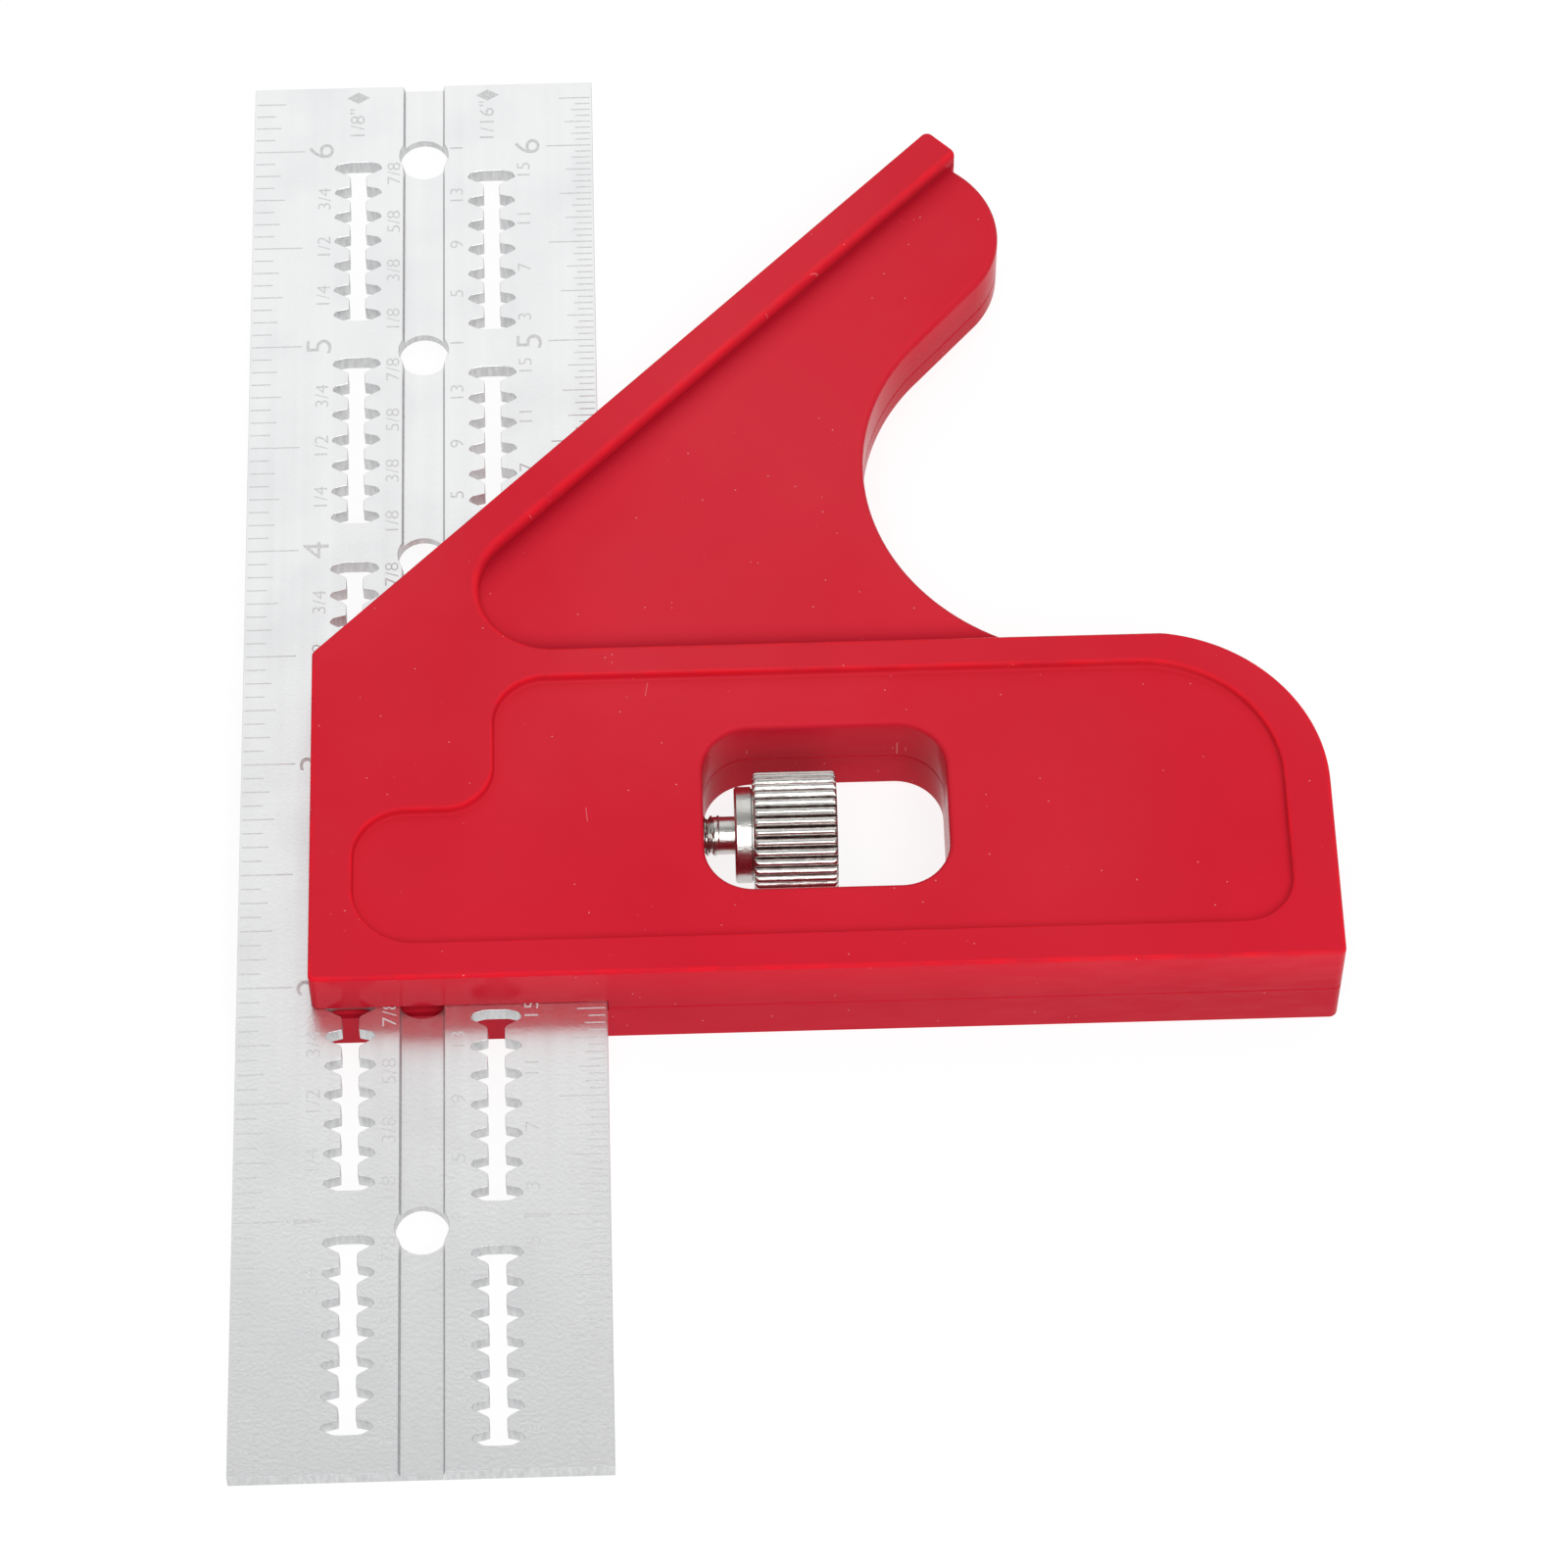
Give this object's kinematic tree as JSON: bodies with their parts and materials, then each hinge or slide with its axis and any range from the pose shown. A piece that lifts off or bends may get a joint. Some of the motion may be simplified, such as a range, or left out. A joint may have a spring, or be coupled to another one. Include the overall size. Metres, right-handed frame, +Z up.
{
  "type": "combination square",
  "caption": "Flat six-inch combination square: red two-shell head with 90 and 45 degree faces, sliding slotted ruler and knurled clamp screw in a finger window.",
  "frame": {"origin": "centre of the whole object's bounding box in X and Y, on the plane the head lies on", "axes": "+Z up out of the ruler's engraved face, +Y along the ruler towards its high numbers, +X from the ruler towards the far end of the head"},
  "size_m": [0.1062, 0.1616, 0.0124],
  "materials": {
    "red_plastic": "semi-gloss moulded plastic with fine scuffs",
    "ruler_aluminium": "satin anodised, engraved scales",
    "nickel_plate": "bright nickel plate over straight knurl",
    "brass": "turned, bare",
    "zinc_steel": "zinc plated"
  },
  "bodies": {
    "head": {"head_upper_shell": "red_plastic", "head_lower_shell": "red_plastic", "clamp_nut": "zinc_steel", "shell_screw_1": "zinc_steel", "shell_screw_2": "zinc_steel", "shell_screw_3": "zinc_steel", "shell_screw_4": "zinc_steel", "shell_screw_5": "zinc_steel"},
    "ruler": {"ruler": "ruler_aluminium"},
    "pressure_pad": {"pressure_pad": "brass"},
    "thumb_screw": {"thumb_screw": "nickel_plate"}
  },
  "joints": [
    {"name": "ruler_slide", "type": "slide", "parent": "head", "child": "ruler", "axis": [0, 1, 0], "range_m": [-0.085, 0.06]},
    {"name": "pad_advance", "type": "slide", "parent": "head", "child": "pressure_pad", "axis": [1, 0, 0], "range_m": [0, 0.003]},
    {"name": "thumb_screw_turn", "type": "hinge", "parent": "pressure_pad", "child": "thumb_screw", "pos_m": [0.001, -0.013, 0.0062], "axis": [1, 0, 0], "range_deg": [0, 1440]}
  ],
  "couplings": [
    {"joint": "pad_advance", "follows": "thumb_screw_turn", "m_per_rad": 0.00011141}
  ]
}
